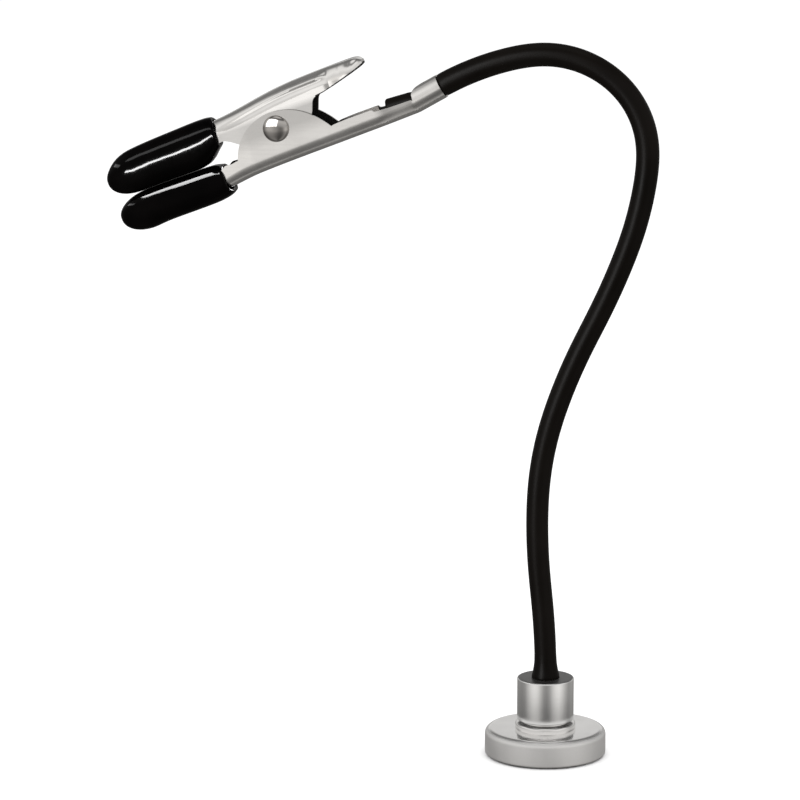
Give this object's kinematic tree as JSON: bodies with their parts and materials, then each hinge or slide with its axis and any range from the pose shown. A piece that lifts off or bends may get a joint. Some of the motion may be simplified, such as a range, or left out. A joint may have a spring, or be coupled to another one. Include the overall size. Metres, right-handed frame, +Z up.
{
  "type": "airbrush holder stand",
  "caption": "Desk stand for model parts being airbrushed: round magnet foot, bendable sleeved gooseneck arm and a sprung clip with soft vinyl jaw caps.",
  "frame": {"origin": "centre of the magnet foot's underside, on the surface it stands on", "axes": "+Z up; the arm lies in the XZ plane and the clip points toward -X; Y runs across the clip, along its rivet"},
  "size_m": [0.1464, 0.032, 0.1893],
  "materials": {
    "turned_metal": "fine turned grey metal, satin on the sides, bright and mirror-like on top of the disc",
    "polished_metal": "polished bright plating",
    "ferrite": "dull dark grey sintered magnet",
    "potting_resin": "dull black filling resin",
    "black_steel": "blackened steel",
    "sleeve_pvc": "smooth satin black flexible sleeve",
    "gooseneck_steel": "wound steel wire",
    "plated_steel": "bright nickel-plated pressed sheet steel",
    "spring_steel": "bright drawn spring wire",
    "black_vinyl": "glossy black dipped vinyl"
  },
  "bodies": {
    "foot": {"magnet_cup": "turned_metal", "disc_magnet": "ferrite", "magnet_spacer": "potting_resin", "base_stud": "black_steel", "neck_ring": "polished_metal", "collar": "turned_metal", "arm_sleeve_01": "sleeve_pvc", "arm_core_01": "gooseneck_steel"},
    "arm_link_02": {"arm_sleeve_02": "sleeve_pvc", "arm_core_02": "gooseneck_steel"},
    "arm_link_03": {"arm_sleeve_03": "sleeve_pvc", "arm_core_03": "gooseneck_steel"},
    "arm_link_04": {"arm_sleeve_04": "sleeve_pvc", "arm_core_04": "gooseneck_steel"},
    "arm_link_05": {"arm_sleeve_05": "sleeve_pvc", "arm_core_05": "gooseneck_steel"},
    "arm_link_06": {"arm_sleeve_06": "sleeve_pvc", "arm_core_06": "gooseneck_steel"},
    "arm_link_07": {"arm_sleeve_07": "sleeve_pvc", "arm_core_07": "gooseneck_steel"},
    "arm_link_08": {"arm_sleeve_08": "sleeve_pvc", "arm_core_08": "gooseneck_steel"},
    "clip": {"arm_sleeve_09": "sleeve_pvc", "arm_core_09": "gooseneck_steel", "clip_lower_jaw": "plated_steel", "clip_rivet": "polished_metal", "clip_spring": "spring_steel", "lower_jaw_cap": "black_vinyl"},
    "clip_lever": {"clip_upper_jaw": "plated_steel", "upper_jaw_cap": "black_vinyl"}
  },
  "joints": [
    {"name": "arm_bend_01", "type": "hinge", "parent": "foot", "child": "arm_link_02", "pos_m": [-0.00146, 0, 0.04454], "axis": [0, -1, 0], "range_deg": [-30, 30]},
    {"name": "arm_bend_02", "type": "hinge", "parent": "arm_link_02", "child": "arm_link_03", "pos_m": [-0.0025, 0, 0.06839], "axis": [0.9994, 0, -0.0349], "range_deg": [-30, 30]},
    {"name": "arm_bend_03", "type": "hinge", "parent": "arm_link_03", "child": "arm_link_04", "pos_m": [0.00164, 0, 0.09185], "axis": [0, 1, 0], "range_deg": [-30, 30]},
    {"name": "arm_bend_04", "type": "hinge", "parent": "arm_link_04", "child": "arm_link_05", "pos_m": [0.01077, 0, 0.11391], "axis": [-0.891, 0, 0.454], "range_deg": [-30, 30]},
    {"name": "arm_bend_05", "type": "hinge", "parent": "arm_link_05", "child": "arm_link_06", "pos_m": [0.0203, 0, 0.13582], "axis": [0, -1, 0], "range_deg": [-30, 30]},
    {"name": "arm_bend_06", "type": "hinge", "parent": "arm_link_06", "child": "arm_link_07", "pos_m": [0.02546, 0, 0.15908], "axis": [0.9962, 0, -0.0872], "range_deg": [-30, 30]},
    {"name": "arm_bend_07", "type": "hinge", "parent": "arm_link_07", "child": "arm_link_08", "pos_m": [0.01648, 0, 0.18022], "axis": [0, 1, 0], "range_deg": [-4, 30]},
    {"name": "arm_bend_08", "type": "hinge", "parent": "arm_link_08", "child": "clip", "pos_m": [-0.00598, 0, 0.18582], "axis": [0.1908, 0, -0.9816], "range_deg": [-30, 30]},
    {"name": "clip_open", "type": "hinge", "parent": "clip", "child": "clip_lever", "pos_m": [-0.07108, 0, 0.1658], "axis": [0, 1, 0], "range_deg": [0, 20], "stiffness_Nm_per_rad": 0.05, "springref_deg": -60, "deforming": ["clip_spring"]}
  ]
}
